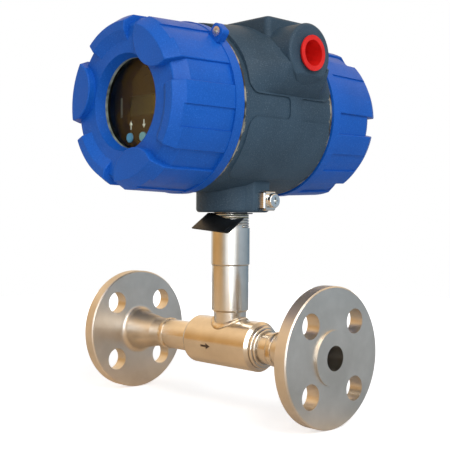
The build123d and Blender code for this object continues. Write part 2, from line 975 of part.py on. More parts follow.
# Covers: both have three low lugs, three high lugs and a lock lug
def cover_shell(side, windowed):
    """Round cover with its inner steps, turned at the level of the recesses between the lugs."""
    recess_back_r = lug_back_r - lug_drop
    recess_shoulder = cover_face - recess_bevel_length
    recess_front_r = lug_side_r(recess_shoulder) - lug_drop
    with BuildPart() as shell:
        with BuildSketch(head_section(side)) as section:
            with BuildLine():
                Polyline(
                    (plate_inner, cover_inner_r),
                    (cover_thread_front, cover_inner_r),
                    (cover_thread_front, cover_thread_r),
                    (seal_seat_front, cover_thread_r),
                    (seal_seat_front, seal_seat_r),
                    (cover_back, seal_seat_r),
                    (cover_back, band_r),
                    (band_front, band_r),
                    (band_front, recess_back_r),
                    (recess_shoulder, recess_front_r),
                    (cover_face, recess_bevel_r),
                )
                if windowed:
                    Polyline(
                        (cover_face, recess_bevel_r),
                        (cover_face, window_outer_r),
                        (window_seat, window_r),
                        (window_seat, pocket_r),
                        (ring_back, pocket_r),
                        (ring_back, glass_boss_r),
                        (plate_inner, glass_boss_r),
                        (plate_inner, cover_inner_r),
                    )
                else:
                    Polyline(
                        (cover_face, recess_bevel_r),
                        (cover_face, 0),
                        (plate_inner, 0),
                        (plate_inner, cover_inner_r),
                    )
            make_face()
            corners = section.vertices()
            fillet(corners.sort_by_distance((cover_face, recess_bevel_r))[0], face_edge)
            fillet(corners.sort_by_distance((band_front, band_r))[0], band_edge)
            fillet(corners.sort_by_distance((cover_back, band_r))[0], band_edge)
            if windowed:
                fillet(corners.sort_by_distance((cover_face, window_outer_r))[0], face_edge)
        revolve(axis=head_axis(side))
    return shell.part


origin = (0, 0, 0)
lug_start = 90.0  # angle at which a lug is made, before it is turned to its place


def edges_in_sight(lug):
    """Edges of a lug, still at the origin, that stay in sight once it is joined to the cover."""
    in_sight = []
    for edge in lug.edges():
        middle = edge.position_at(0.5)
        distance = abs(middle.Y)
        reach = sqrt(middle.X**2 + middle.Z**2)
        beside = distance > band_front + fit_gap and reach > lug_root_r + fit_gap
        if beside or distance > cover_face + fit_gap:
            in_sight.append(edge)
    return in_sight


def low_lug(side):
    """Lug whose inner edge slopes down to the cover's face, on its first place at the origin."""
    with BuildPart() as lug:
        with BuildSketch(head_section(side, lug_start - lug_span / 2, origin)):
            with BuildLine():
                Polyline(
                    (band_front, lug_root_r),
                    (band_front, lug_back_r),
                    (lug_shoulder, lug_front_r),
                    (low_lug_face, lug_bevel_r(low_lug_face)),
                    (low_lug_face, low_lug_inner_r),
                    (cover_face, low_lug_foot_r),
                    (plate_inner + seat_gap, low_lug_foot_r + cover_plate),
                    (plate_inner + seat_gap, lug_root_r),
                    close=True,
                )
            make_face()
        revolve(axis=head_axis(side, origin), revolution_arc=lug_span)
        fillet(edges_in_sight(lug), lug_edge)
    return lug.part


def high_lug(side):
    """Taller lug with a round pad that runs in over the cover's face, on its first place at the origin."""
    pad_foot = cover_face - low_lug_rise
    with BuildPart() as pad:
        with BuildSketch(head_face(side, pad_foot, origin)):
            with PolarLocations(high_lug_centre_r, 1, start_angle=lug_start):
                Circle(high_lug_pad_r)
        extrude(amount=high_lug_face - pad_foot)
        with BuildSketch(head_section(side, lug_start - lug_span / 2, origin)):
            with BuildLine():
                Polyline(
                    (pad_foot, 0),
                    (pad_foot, lug_bevel_r(pad_foot)),
                    (high_lug_face, high_lug_edge_r),
                    (high_lug_face, 0),
                    close=True,
                )
            make_face()
        revolve(axis=head_axis(side, origin), revolution_arc=lug_span, mode=Mode.INTERSECT)
    with BuildPart() as lug:
        with BuildSketch(head_section(side, lug_start - lug_span / 2, origin)):
            with BuildLine():
                Polyline(
                    (band_front, lug_root_r),
                    (band_front, lug_back_r),
                    (lug_shoulder, lug_front_r),
                    (high_lug_face, high_lug_edge_r),
                    (high_lug_face, recess_bevel_r),
                    (plate_inner + seat_gap, recess_bevel_r),
                    (plate_inner + seat_gap, lug_root_r),
                    close=True,
                )
            make_face()
        revolve(axis=head_axis(side, origin), revolution_arc=lug_span)
        add(pad.part)
        fillet(edges_in_sight(lug), lug_edge)
    return lug.part


def lug_place(side, turn):
    """Takes a lug from its first place at the origin to its angle on the cover."""
    return Location(head_centre) * Rotation(0, side * (turn - lug_start), 0)


def lug_groove(side, turn):
    """Shallow groove along the middle of a lug's side."""
    run_out = lug_shoulder + lug_bevel_length / 3
    with BuildPart() as groove:
        with BuildSketch(head_section(side, turn - groove_span / 2)):
            with BuildLine():
                Polyline(
                    (band_front, lug_back_r - groove_depth),
                    (band_front, band_r + lug_drop),
                    (run_out, band_r + lug_drop),
                    (run_out, lug_side_r(run_out) - groove_depth),
                    close=True,
                )
            make_face()
        revolve(axis=head_axis(side), revolution_arc=groove_span)
    return groove.part


def lock_lug(side, turn):
    """Ear on the cover's band for the lock screw."""
    with BuildPart() as ear:
        with BuildSketch(head_face(side, lock_back)):
            with PolarLocations((lock_top_r + lock_root_r) / 2, 1, start_angle=turn):
                RectangleRounded(lock_top_r - lock_root_r, lock_width, lock_corner)
        extrude(amount=lock_length)
        fillet(ear.faces().sort_by(head_axis(side))[-1].edges(), lock_edge)
    return ear.part


def cover(side, lug_turn, lock_turn, windowed):
    turns = [lug_turn + k * 180 / lug_pairs for k in range(2 * lug_pairs)]
    with BuildPart() as piece:
        add(cover_shell(side, windowed))
        for lug, places in ((low_lug(side), turns[0::2]), (high_lug(side), turns[1::2])):
            for turn in places:
                add(lug.moved(lug_place(side, turn)))
        for turn in turns:
            add(lug_groove(side, turn), mode=Mode.SUBTRACT)
        add(lock_lug(side, lock_turn))
        with BuildSketch(head_face(side, lock_back)):
            with PolarLocations(lock_screw_circle_r, 1, start_angle=lock_turn):
                Circle(lock_screw_r + fit_gap)
        extrude(amount=lock_length, mode=Mode.SUBTRACT)
    return piece.part


front_cover = cover(-1, front_lug_turn, front_lock_turn, True)
front_cover.label = "front_cover"
export_step(front_cover, "parts/front_cover.step")

rear_cover = cover(1, rear_lug_turn, rear_lock_turn, False)
rear_cover.label = "rear_cover"
export_step(rear_cover, "parts/rear_cover.step")


# Lock screws with a hexagon socket, and the seal rings of both covers
for end, side, lock_turn in (("front", -1, front_lock_turn), ("rear", 1, rear_lock_turn)):
    with BuildPart() as lock_screw:
        with BuildSketch(head_face(side, lock_back)):
            with PolarLocations(lock_screw_circle_r, 1, start_angle=lock_turn):
                Circle(lock_screw_r)
        extrude(amount=lock_length + lock_screw_proud)
        with BuildSketch(head_face(side, lock_front + lock_screw_proud - lock_socket_depth)):
            with PolarLocations(lock_screw_circle_r, 1, start_angle=lock_turn):
                RegularPolygon(lock_socket / 2, 6, major_radius=False)
        extrude(amount=lock_socket_depth, mode=Mode.SUBTRACT)
    lock_screw.part.label = f"{end}_lock_screw"
    export_step(lock_screw.part, f"parts/{end}_lock_screw.step")

    with BuildPart() as cover_seal:
        with BuildSketch(head_section(side)):
            with Locations((seal_out, seal_r)):
                Circle(seal_wire_r)
        revolve(axis=head_axis(side))
    cover_seal.part.label = f"{end}_cover_seal"
    export_step(cover_seal.part, f"parts/{end}_cover_seal.step")


# Window: gasket, glass and the ring that holds them
def front_disc(name, outer_r, inner_r, back, thick):
    with BuildPart() as disc:
        with BuildSketch(head_face(-1, back)):
            Circle(outer_r)
            if inner_r:
                Circle(inner_r, mode=Mode.SUBTRACT)
        extrude(amount=thick)
    disc.part.label = name
    export_step(disc.part, f"parts/{name}.step")


front_disc("window_gasket", glass_r, window_r, glass_front, gasket_thick)
front_disc("window_glass", glass_r, 0, glass_back, glass_thick)
front_disc("glass_ring", glass_r, glass_ring_inner_r, ring_back, glass_ring_thick)


# Display bezel: a cup over the board, with a ledge for the fascia
bezel_pocket_r = board_r + seat_gap
with BuildPart() as display_bezel:
    with BuildSketch(head_section(-1)):
        with BuildLine():
            Polyline(
                (bezel_front - bezel_depth, bezel_pocket_r),
                (bezel_front - bezel_depth, bezel_r),
                (bezel_front, bezel_r),
                (bezel_front, fascia_r + seat_gap),
                (fascia_back, fascia_r + seat_gap),
                (fascia_back, bezel_ledge_r),
                (bezel_front - bezel_face, bezel_ledge_r),
                (bezel_front - bezel_face, bezel_pocket_r),
                close=True,
            )
        make_face()
    revolve(axis=head_axis(-1))
display_bezel.part.label = "display_bezel"
export_step(display_bezel.part, "parts/display_bezel.step")

# Fascia with the screen's opening and a hole for each button
with BuildPart() as display_fascia:
    with BuildSketch(head_face(-1, fascia_back)):
        Circle(fascia_r)
        Rectangle(screen_width, screen_height, mode=Mode.SUBTRACT)
        for button_x in button_places.values():
            with Locations((button_x, button_height)):
                Circle(button_r + seat_gap, mode=Mode.SUBTRACT)
    extrude(amount=fascia_thick)
display_fascia.part.label = "display_fascia"
export_step(display_fascia.part, "parts/display_fascia.step")

# Screen: its front fills the fascia's opening, and its frame stands on the board
with BuildPart() as lcd_panel:
    with BuildSketch(head_face(-1, board_front)):
        Rectangle(screen_width + 2 * screen_frame, screen_height + 2 * screen_frame)
    extrude(amount=fascia_back - board_front - seat_gap)
    with BuildSketch(head_face(-1, board_front)):
        Rectangle(screen_width - fit_gap, screen_height - fit_gap)
    extrude(amount=fascia_front - screen_recess - board_front)
lcd_panel.part.label = "lcd_panel"
export_step(lcd_panel.part, "parts/lcd_panel.step")

# Push buttons: the collar behind the fascia keeps them in
button_back = board_front + switch_height + button_travel + fit_gap
collar_back = fascia_back - seat_gap - button_collar
for name, button_x in button_places.items():
    with BuildPart() as button:
        with BuildSketch(head_face(-1, button_back)):
            with Locations((button_x, button_height)):
                Circle(button_r)
        extrude(amount=bezel_front - button_sink - button_back)
        with BuildSketch(head_face(-1, collar_back)):
            with Locations((button_x, button_height)):
                Circle(button_collar_r)
        extrude(amount=button_collar)
    button.part.label = name
    export_step(button.part, f"parts/{name}.step")

# Display board and the two switches under the buttons
with BuildPart() as display_board:
    with BuildSketch(head_face(-1, board_back)):
        Circle(board_r)
    extrude(amount=board_thick)
display_board.part.label = "display_board"
export_step(display_board.part, "parts/display_board.step")

with BuildPart() as button_switches:
    with BuildSketch(head_face(-1, board_front)):
        for button_x in button_places.values():
            with Locations((button_x, button_height)):
                Rectangle(switch_size, switch_size)
    extrude(amount=switch_height)
button_switches.part.label = "button_switches"
export_step(button_switches.part, "parts/button_switches.step")

# Electronics module between the wall and the display board
with BuildPart() as electronics_module:
    with BuildSketch(head_face(-1, module_back)):
        Circle(module_r)
    extrude(amount=module_thick)
    fillet(electronics_module.edges().filter_by(GeomType.CIRCLE), module_edge)
electronics_module.part.label = "electronics_module"
export_step(electronics_module.part, "parts/electronics_module.step")


# Posts: three under each carried piece
def posts(name, side, spans):
    with BuildPart() as group:
        for start, stop in spans:
            with BuildSketch(head_face(side, start)):
                with PolarLocations(post_circle_r, post_count, start_angle=post_turn):
                    Circle(post_r)
            extrude(amount=stop - start)
    group.part.label = name
    export_step(group.part, f"parts/{name}.step")


posts("display_posts", -1, ((-wall_front, module_back), (module_front, board_back)))
posts("terminal_posts", 1, ((wall_back, terminal_board_y),))

# Terminal board, and the stepped terminal block with its screws
terminal_face = terminal_board_y + board_thick
terminal_length = terminal_count * terminal_pitch
with BuildPart() as terminal_board:
    with BuildSketch(head_face(1, terminal_board_y)):
        Circle(terminal_board_r)
    extrude(amount=board_thick)
terminal_board.part.label = "terminal_board"
export_step(terminal_board.part, "parts/terminal_board.step")

screw_height = terminal_low + terminal_height / 2
with BuildPart() as terminal_block:
    with BuildSketch(head_face(1, terminal_face)):
        with Locations((0, screw_height)):
            Rectangle(terminal_length, terminal_height)
    extrude(amount=terminal_depth)
    with BuildSketch(head_face(1, terminal_face)):
        with Locations((0, terminal_low - terminal_shelf / 2)):
            Rectangle(terminal_length, terminal_shelf)
    extrude(amount=terminal_base)
    with BuildSketch(head_face(1, terminal_face + terminal_base)):
        with Locations((0, screw_height)):
            with GridLocations(terminal_pitch, 0, terminal_count, 1):
                Circle(terminal_screw_r + seat_gap)
    extrude(amount=terminal_depth - terminal_base, mode=Mode.SUBTRACT)
terminal_block.part.label = "terminal_block"
export_step(terminal_block.part, "parts/terminal_block.step")

with BuildPart() as terminal_screws:
    with BuildSketch(head_face(1, terminal_face + terminal_base)):
        with Locations((0, screw_height)):
            with GridLocations(terminal_pitch, 0, terminal_count, 1):
                Circle(terminal_screw_r)
    extrude(amount=terminal_screw_height)
    with BuildSketch(head_face(1, terminal_face + terminal_base + terminal_screw_height)):
        with Locations((0, screw_height)):
            with GridLocations(terminal_pitch, 0, terminal_count, 1):
                Rectangle(terminal_slot, 2 * terminal_screw_r)
    extrude(amount=-terminal_slot, mode=Mode.SUBTRACT)
terminal_screws.part.label = "terminal_screws"
export_step(terminal_screws.part, "parts/terminal_screws.step")


# Hollow plugs in the conduit ports
plug_r = port_r - seat_gap
for name, side in (("left_port_plug", -1), ("right_port_plug", 1)):
    with BuildPart() as plug:
        with BuildSketch(port_plane(side, plug_rim_front - plug_rim)):
            Circle(plug_rim_r)
        extrude(amount=plug_rim)
        with BuildSketch(port_plane(side, plug_rim_front - plug_depth)):
            Circle(plug_r)
        extrude(amount=plug_depth)
        with BuildSketch(port_plane(side, plug_rim_front)):
            Circle(plug_r - plug_wall)
        extrude(amount=plug_wall - plug_depth, mode=Mode.SUBTRACT)
    plug.part.label = name
    export_step(plug.part, f"parts/{name}.step")


# Earth clamp: a plate with four bent edges that stand on the ear
clamp_origin = (stem_x + ear_reach, port_y, earth_z)
clamp_side = Plane(origin=clamp_origin, x_dir=(1, 0, 0), z_dir=(0, -1, 0))
clamp_top = Plane(origin=clamp_origin, x_dir=(1, 0, 0), z_dir=(0, 0, 1))


def channel(plane, across, length):
    """Bent channel that stands on the ear, seen along its bends."""
    inner_bend = clamp_bend - clamp_sheet
    with BuildPart() as bent:
        with BuildSketch(plane):
            RectangleRounded(2 * clamp_depth, across, clamp_bend)
            RectangleRounded(
                2 * (clamp_depth - clamp_sheet),
                across - 2 * clamp_sheet,
                inner_bend,
                mode=Mode.SUBTRACT,
            )
            with Locations((-clamp_depth, 0)):
                Rectangle(2 * clamp_depth, 2 * across, mode=Mode.SUBTRACT)
        extrude(amount=length / 2, both=True)
    return bent.part


with BuildPart() as earth_clamp:
    add(channel(clamp_side, clamp_height, clamp_width - 2 * clamp_relief))
    add(channel(clamp_top, clamp_width, clamp_height - 2 * clamp_relief))
    with BuildSketch(Plane(origin=clamp_origin, x_dir=(0, 1, 0), z_dir=(1, 0, 0))):
        Circle(earth_screw_r + seat_gap)
    extrude(amount=clamp_depth, mode=Mode.SUBTRACT)
earth_clamp.part.label = "earth_clamp"
export_step(earth_clamp.part, "parts/earth_clamp.step")


def earth_plane(reach):
    """Plane square to the earth screw, facing out."""
    return Plane(origin=(stem_x + reach, port_y, earth_z), x_dir=(0, 1, 0), z_dir=(1, 0, 0))


with BuildPart() as earth_washer:
    with BuildSketch(earth_plane(clamp_face)):
        Circle(washer_r)
        Circle(earth_screw_r + fit_gap, mode=Mode.SUBTRACT)
    extrude(amount=washer_thick)
earth_washer.part.label = "earth_washer"
export_step(earth_washer.part, "parts/earth_washer.step")

# Pan-head screw with a cross recess
head_front = head_back + earth_head
with BuildPart() as earth_screw:
    with BuildSketch(earth_plane(head_back)):
        Circle(earth_head_r)
    extrude(amount=earth_head)
    fillet(earth_screw.faces().sort_by(Axis.X)[-1].edges(), earth_head_round)
    with BuildSketch(earth_plane(head_back)):
        Circle(earth_screw_r)
    extrude(amount=-earth_screw_length)
    with BuildSketch(earth_plane(head_front)):
        Rectangle(cross_length, cross_width)
        Rectangle(cross_width, cross_length)
    extrude(amount=-cross_depth, taper=8, mode=Mode.SUBTRACT)
earth_screw.part.label = "earth_screw"
export_step(earth_screw.part, "parts/earth_screw.step")
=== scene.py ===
import math

import bmesh
import bpy
from mathutils import Matrix, Vector


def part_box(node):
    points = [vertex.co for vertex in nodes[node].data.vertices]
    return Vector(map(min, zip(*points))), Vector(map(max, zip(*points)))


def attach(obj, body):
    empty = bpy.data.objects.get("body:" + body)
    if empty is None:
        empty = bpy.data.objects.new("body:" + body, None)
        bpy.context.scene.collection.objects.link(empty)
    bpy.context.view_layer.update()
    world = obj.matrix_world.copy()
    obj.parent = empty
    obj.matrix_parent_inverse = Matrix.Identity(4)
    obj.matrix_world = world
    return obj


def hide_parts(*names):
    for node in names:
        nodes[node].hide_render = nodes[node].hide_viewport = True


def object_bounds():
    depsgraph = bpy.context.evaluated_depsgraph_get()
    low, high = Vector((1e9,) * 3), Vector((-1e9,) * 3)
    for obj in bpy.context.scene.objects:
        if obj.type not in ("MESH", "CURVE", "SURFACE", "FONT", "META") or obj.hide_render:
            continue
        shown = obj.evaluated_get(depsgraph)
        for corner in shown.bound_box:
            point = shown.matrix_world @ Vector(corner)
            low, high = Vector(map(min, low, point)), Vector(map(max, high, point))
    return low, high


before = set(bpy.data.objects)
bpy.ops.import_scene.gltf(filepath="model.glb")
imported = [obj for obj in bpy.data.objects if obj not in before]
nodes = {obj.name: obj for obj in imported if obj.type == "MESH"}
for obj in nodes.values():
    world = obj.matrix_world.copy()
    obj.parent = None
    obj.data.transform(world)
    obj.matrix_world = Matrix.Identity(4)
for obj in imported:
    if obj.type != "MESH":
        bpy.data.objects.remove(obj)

# Thermal mass flow meter: finishes, welds, neck thread, display print, lights and camera.
# Metres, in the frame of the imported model: X along the pipe, Z up the neck, display towards -Y.

cad_low, cad_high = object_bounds()


# Places read from the model

def middle(node):
    """Middle of a node's box."""
    low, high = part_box(node)
    return (low + high) / 2


stem_x = middle("neck_tube").x
head_z = middle("front_cover").z
pipe_r = (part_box("inlet_pipe")[1].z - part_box("inlet_pipe")[0].z) / 2
body_r = (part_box("flow_body")[1].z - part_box("flow_body")[0].z) / 2
spigot_r = (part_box("neck_spigot")[1].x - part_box("neck_spigot")[0].x) / 2

mm = 0.001
case_half = 40.5 * mm  # the painted case reaches this far from the middle, along Y
flange_rim_r = 43.8 * mm  # a flange is duller outside this radius
screen_painted_light = (2 * mm, 14 * mm)  # painted light: the screen's colour brightens over this stretch to the right of the neck's axis


# Node helpers

def srgb(red, green, blue):
    """Linear colour from the 0-255 values that a screen shows."""
    channels = []
    for value in (red, green, blue):
        share = value / 255
        channels.append(share / 12.92 if share <= 0.04045 else ((share + 0.055) / 1.055) ** 2.4)
    return (*channels, 1)


class Nodes:
    """Short calls that add and join the nodes of a material or a world."""

    def __init__(self, tree):
        self.tree = tree

    def node(self, kind, **settings):
        made = self.tree.nodes.new(kind)
        for key, value in settings.items():
            setattr(made, key, value)
        return made

    def feed(self, socket, value):
        """Gives an input another node's output or a constant."""
        if isinstance(value, bpy.types.NodeSocket):
            self.tree.links.new(value, socket)
        else:
            socket.default_value = value

    def maths(self, operation, first, second=0.0):
        made = self.node("ShaderNodeMath", operation=operation)
        self.feed(made.inputs[0], first)
        self.feed(made.inputs[1], second)
        return made.outputs[0]

    def span(self, value, low, high, new_low=0.0, new_high=1.0, smooth=False):
        """Maps low to high onto the new range, held level outside it."""
        made = self.node("ShaderNodeMapRange")
        made.interpolation_type = "SMOOTHSTEP" if smooth else "LINEAR"
        self.feed(made.inputs["Value"], value)
        made.inputs["From Min"].default_value = low
        made.inputs["From Max"].default_value = high
        made.inputs["To Min"].default_value = new_low
        made.inputs["To Max"].default_value = new_high
        return made.outputs["Result"]

    def blend(self, share, first, second):
        made = self.node("ShaderNodeMix", data_type="RGBA")
        self.feed(made.inputs["Factor"], share)
        self.feed(made.inputs["A"], first)
        self.feed(made.inputs["B"], second)
        return made.outputs["Result"]


class Finish(Nodes):
    """A material under construction."""

    def __init__(self, name):
        self.material = bpy.data.materials.new(name)
        self.material.use_nodes = True
        super().__init__(self.material.node_tree)
        self.shader = self.tree.nodes["Principled BSDF"]
        self.coordinates = self.node("ShaderNodeTexCoord").outputs["Object"]

    def set(self, **values):
        """Feeds inputs of the shader, named with _ for each space."""
        for key, value in values.items():
            self.feed(self.shader.inputs[key.replace("_", " ")], value)

    def axis(self, letter):
        made = self.node("ShaderNodeSeparateXYZ")
        self.feed(made.inputs[0], self.coordinates)
        return made.outputs[letter]

    def noise(self, scale, detail=3.0, roughness=0.5, vector=None):
        made = self.node("ShaderNodeTexNoise")
        self.feed(made.inputs["Vector"], vector or self.coordinates)
        made.inputs["Scale"].default_value = scale
        made.inputs["Detail"].default_value = detail
        made.inputs["Roughness"].default_value = roughness
        return made.outputs["Fac"]

    def stretch(self, amounts):
        """Object coordinates scaled by an amount for each axis."""
        made = self.node("ShaderNodeMapping")
        self.feed(made.inputs["Vector"], self.coordinates)
        made.inputs["Scale"].default_value = amounts
        return made.outputs[0]

    def relief(self, height, distance, strength, under=None):
        """Bump from a height, on top of another bump where one is given."""
        made = self.node("ShaderNodeBump")
        made.inputs["Distance"].default_value = distance
        made.inputs["Strength"].default_value = strength
        self.feed(made.inputs["Height"], height)
        if under is not None:
            self.feed(made.inputs["Normal"], under)
        return made.outputs["Normal"]

    def distance_from(self, first, second):
        """Length of a vector with these two parts."""
        first_square = self.maths("MULTIPLY", first, first)
        second_square = self.maths("MULTIPLY", second, second)
        return self.maths("SQRT", self.maths("ADD", first_square, second_square))


def coat(node_names, material):
    """Puts a material in the slots of CAD nodes."""
    for name in node_names:
        mesh = nodes[name].data
        mesh.materials.clear()
        mesh.materials.append(material)


# Painted castings

def satin_blue():
    """Satin royal blue paint with a faint orange peel and rubbed places."""
    look = Finish("satin_blue_paint")
    cloud = look.noise(18, 2)
    speck = look.noise(1300, 3, 0.6)
    shade = look.blend(look.span(cloud, 0.35, 0.65), srgb(12, 84, 176), srgb(18, 92, 190))
    grained = look.blend(look.span(speck, 0.3, 0.48, 0.4, 0), shade, srgb(8, 66, 150))
    look.set(Base_Color=look.blend(look.span(speck, 0.56, 0.74, 0, 0.55), grained, srgb(60, 128, 216)))
    look.set(Roughness=look.span(look.noise(60, 4), 0.3, 0.7, 0.42, 0.54))
    look.set(Specular_IOR_Level=0.22)
    peel = look.relief(look.noise(650, 2), 0.0002, 0.5)
    look.set(Normal=look.relief(look.noise(2600, 2), 0.00004, 0.4, under=peel))
    return look.material


def textured_case():
    """Dark blue-grey powder coat: a fine grain, chips at the rims, bare metal where the covers seat."""
    look = Finish("grained_case_paint")
    grain = look.noise(1500, 3, 0.6)
    cloud = look.noise(25, 3)
    shade = look.blend(look.span(cloud, 0.35, 0.65), srgb(44, 64, 80), srgb(54, 76, 94))
    painted = look.blend(look.span(grain, 0.52, 0.74, 0, 0.6), shade, srgb(90, 108, 122))
    out = look.maths("ABSOLUTE", look.axis("Y"))
    near_rim = look.span(out, case_half - 1.3 * mm, case_half - 0.3 * mm)
    chips = look.maths("MULTIPLY", near_rim, look.span(look.noise(420, 3, 0.6), 0.57, 0.61))
    bare = look.maths("MAXIMUM", look.span(out, case_half, case_half + 0.05 * mm), chips)
    turned = look.noise(1.0, 2, vector=look.stretch((40, 9000, 40)))
    clean = look.blend(turned, srgb(160, 154, 134), srgb(206, 200, 182))
    metal = look.blend(look.span(look.noise(110, 3), 0.42, 0.58), clean, srgb(74, 72, 66))
    look.set(Base_Color=look.blend(bare, painted, metal), Metallic=look.maths("MULTIPLY", bare, 0.6))
    look.set(Roughness=look.span(bare, 0, 1, 0.58, 0.3), Specular_IOR_Level=0.25)
    coarse = look.relief(look.noise(420, 3), 0.00018, 0.5)
    look.set(Normal=look.relief(grain, 0.00018, 0.9, under=coarse))
    return look.material


# Metals

def turned_steel(name, tint_low, tint_high, lines, rough_low, rough_high, around):
    """Stainless turned on a lathe: fine rings round the pipe's or the neck's axis, a duller flange rim."""
    look = Finish(name)
    if around == "pipe":
        along = look.axis("X")
        radius = look.distance_from(look.axis("Y"), look.axis("Z"))
    else:
        along = look.axis("Z")
        radius = look.distance_from(look.maths("SUBTRACT", look.axis("X"), stem_x), look.axis("Y"))
    place = look.node("ShaderNodeCombineXYZ")
    look.feed(place.inputs["X"], look.maths("ADD", along, radius))
    rings = look.noise(lines, 2, 0.5, vector=place.outputs[0])
    broad = look.noise(lines / 30, 2, 0.5, vector=place.outputs[0])
    stain = look.noise(45, 4, 0.6)
    tint = look.blend(look.span(stain, 0.35, 0.7), tint_low, tint_high)
    look.set(Base_Color=look.blend(look.span(rings, 0.3, 0.7, 0, 0.1), tint, srgb(232, 229, 224)))
    look.set(Metallic=1.0)
    worn = look.span(broad, 0.3, 0.7, rough_low, rough_high)
    worn = look.maths("ADD", worn, look.span(stain, 0.4, 0.8, 0, 0.04))
    worn = look.maths("ADD", worn, look.span(radius, flange_rim_r, flange_rim_r + 0.4 * mm, 0, 0.16))
    look.set(Roughness=worn, Anisotropic=0.4)
    grain = look.relief(look.noise(3200, 2), 0.00002, 0.35)
    look.set(Normal=look.relief(rings, 0.000004, 0.25, under=grain))
    return look.material


def weld_metal():
    """Bright rippled bead with straw and blue heat tints."""
    look = Finish("weld_bead")
    heat = look.noise(150, 3, 0.6)
    warm = look.blend(look.span(heat, 0.4, 0.62), srgb(214, 210, 202), srgb(196, 170, 126))
    look.set(Base_Color=look.blend(look.span(look.noise(180, 2), 0.62, 0.74), warm, srgb(150, 160, 180)))
    look.set(Metallic=1.0, Roughness=look.span(look.noise(400, 3), 0.3, 0.7, 0.26, 0.42))
    look.set(Normal=look.relief(look.noise(700, 2), 0.00006, 0.4))
    return look.material


def plated_steel():
    """Bright zinc plate with a faint bluish cast and fine scratches."""
    look = Finish("bright_zinc_plate")
    scratch = look.noise(1.0, 3, vector=look.stretch((200, 1600, 5000)))
    look.set(Base_Color=look.blend(look.noise(300, 3), srgb(206, 212, 218), srgb(230, 228, 220)))
    look.set(Metallic=1.0, Roughness=look.span(scratch, 0.3, 0.7, 0.14, 0.3))
    look.set(Normal=look.relief(scratch, 0.00002, 0.4))
    return look.material


# Plastics, rubber and glass

def moulded(name, low, high, rough, grain_depth=0.00003, gloss=0.3):
    """Moulded plastic or rubber: a faint cloud of two close colours and a fine grain."""
    look = Finish(name)
    look.set(Base_Color=look.blend(look.span(look.noise(120, 3), 0.35, 0.65), low, high))
    look.set(Roughness=look.span(look.noise(700, 3), 0.3, 0.7, rough - 0.06, rough + 0.06))
    look.set(Specular_IOR_Level=gloss)
    look.set(Normal=look.relief(look.noise(2200, 2), grain_depth, 0.5))
    return look.material


def window_glass():
    """Thick clear glass with a trace of green and faint smears."""
    look = Finish("window_glass")
    look.set(Base_Color=srgb(236, 246, 242), Transmission_Weight=1.0, IOR=1.18)
    look.set(Roughness=look.span(look.noise(90, 4, 0.6), 0.55, 0.8, 0.0, 0.05))
    return look.material


def screen_face():
    """Olive liquid-crystal screen with painted light: its colour brightens towards its right end."""
    look = Finish("screen_face")
    x_off = look.maths("SUBTRACT", look.axis("X"), stem_x)
    # Painted light: the base colour turns from dim olive to bright yellow-brown towards the right end.
    glow = look.span(x_off, *screen_painted_light, smooth=True)
    cells = look.noise(2500, 1)
    base = look.blend(glow, srgb(56, 50, 28), srgb(104, 82, 14))
    look.set(Base_Color=look.blend(look.span(cells, 0.4, 0.6, 0, 0.2), base, srgb(44, 40, 24)))
    look.set(Roughness=0.25, Specular_IOR_Level=0.15)
    return look.material


steel_pipe = turned_steel(
    "turned_stainless_pipe", srgb(196, 190, 180), srgb(214, 209, 200),
    lines=5200, rough_low=0.2, rough_high=0.25, around="pipe",
)
steel_flange = turned_steel(
    "turned_stainless_flange", srgb(200, 195, 186), srgb(216, 211, 203),
    lines=4200, rough_low=0.33, rough_high=0.39, around="pipe",
)
steel_neck = turned_steel(
    "turned_stainless_neck", srgb(200, 197, 190), srgb(216, 213, 206),
    lines=5200, rough_low=0.2, rough_high=0.24, around="neck",
)
bead = weld_metal()
zinc = plated_steel()
blue = satin_blue()
case = textured_case()
black_plastic = moulded("black_plastic", srgb(16, 16, 18), srgb(24, 24, 26), 0.4)
red_plastic = moulded("red_plastic", srgb(206, 24, 20), srgb(226, 36, 30), 0.36)
rubber = moulded("black_rubber", srgb(20, 20, 20), srgb(28, 28, 28), 0.7)
potting = moulded("potting_compound", srgb(22, 22, 25), srgb(32, 32, 35), 0.5)
# Dark grey gasket; the pale patches of its colour are painted glints, painted highlights.
gasket = moulded("grey_gasket_painted_glints", srgb(58, 64, 58), srgb(164, 172, 158), 0.45)

coat(["inlet_flange", "outlet_flange"], steel_flange)
coat(["inlet_pipe", "outlet_pipe", "flow_body"], steel_pipe)
coat(["neck_spigot", "neck_tube", "neck_adapter"], steel_neck)
coat(["sensor_holder", "heated_sensor", "reference_sensor"], steel_neck)
coat(["inlet_hub_weld", "outlet_hub_weld", "inlet_body_weld", "outlet_body_weld", "neck_weld"], bead)
coat(["earth_clamp", "earth_washer", "earth_screw", "front_lock_screw", "rear_lock_screw"], zinc)
coat(["terminal_screws", "terminal_posts", "display_posts"], zinc)
coat(["front_cover", "rear_cover"], blue)
coat(["housing", "port_saddle", "left_port_boss", "right_port_boss", "stem_boss"], case)
coat(["left_port_plug", "right_port_plug"], red_plastic)
coat(["front_cover_seal", "rear_cover_seal", "sensor_lead"], rubber)
coat(["display_bezel", "glass_ring", "button_switches"], black_plastic)
coat(["electronics_module", "neck_gland"], potting)
coat(["window_gasket"], gasket)
coat(["window_glass"], window_glass())
coat(["display_fascia"], moulded("brown_fascia", srgb(44, 31, 14), srgb(52, 36, 16), 0.4, gloss=0.1))
coat(["lcd_panel"], screen_face())
coat(["left_button"], moulded("pale_blue_button", srgb(92, 170, 232), srgb(104, 180, 240), 0.4))
# The right button is the left button's blue painted paler and greyer: painted light.
coat(["right_button"], moulded("pale_blue_button_painted_light", srgb(112, 178, 206), srgb(126, 188, 214), 0.4))
coat(["display_board", "terminal_board"], moulded("green_board", srgb(18, 70, 40), srgb(24, 84, 48), 0.4))
coat(["terminal_block"], moulded("dark_terminal_plastic", srgb(30, 34, 34), srgb(38, 42, 42), 0.5))
coat(["tag_plate"], moulded("black_tag_sheet", srgb(14, 16, 18), srgb(22, 26, 30), 0.42))
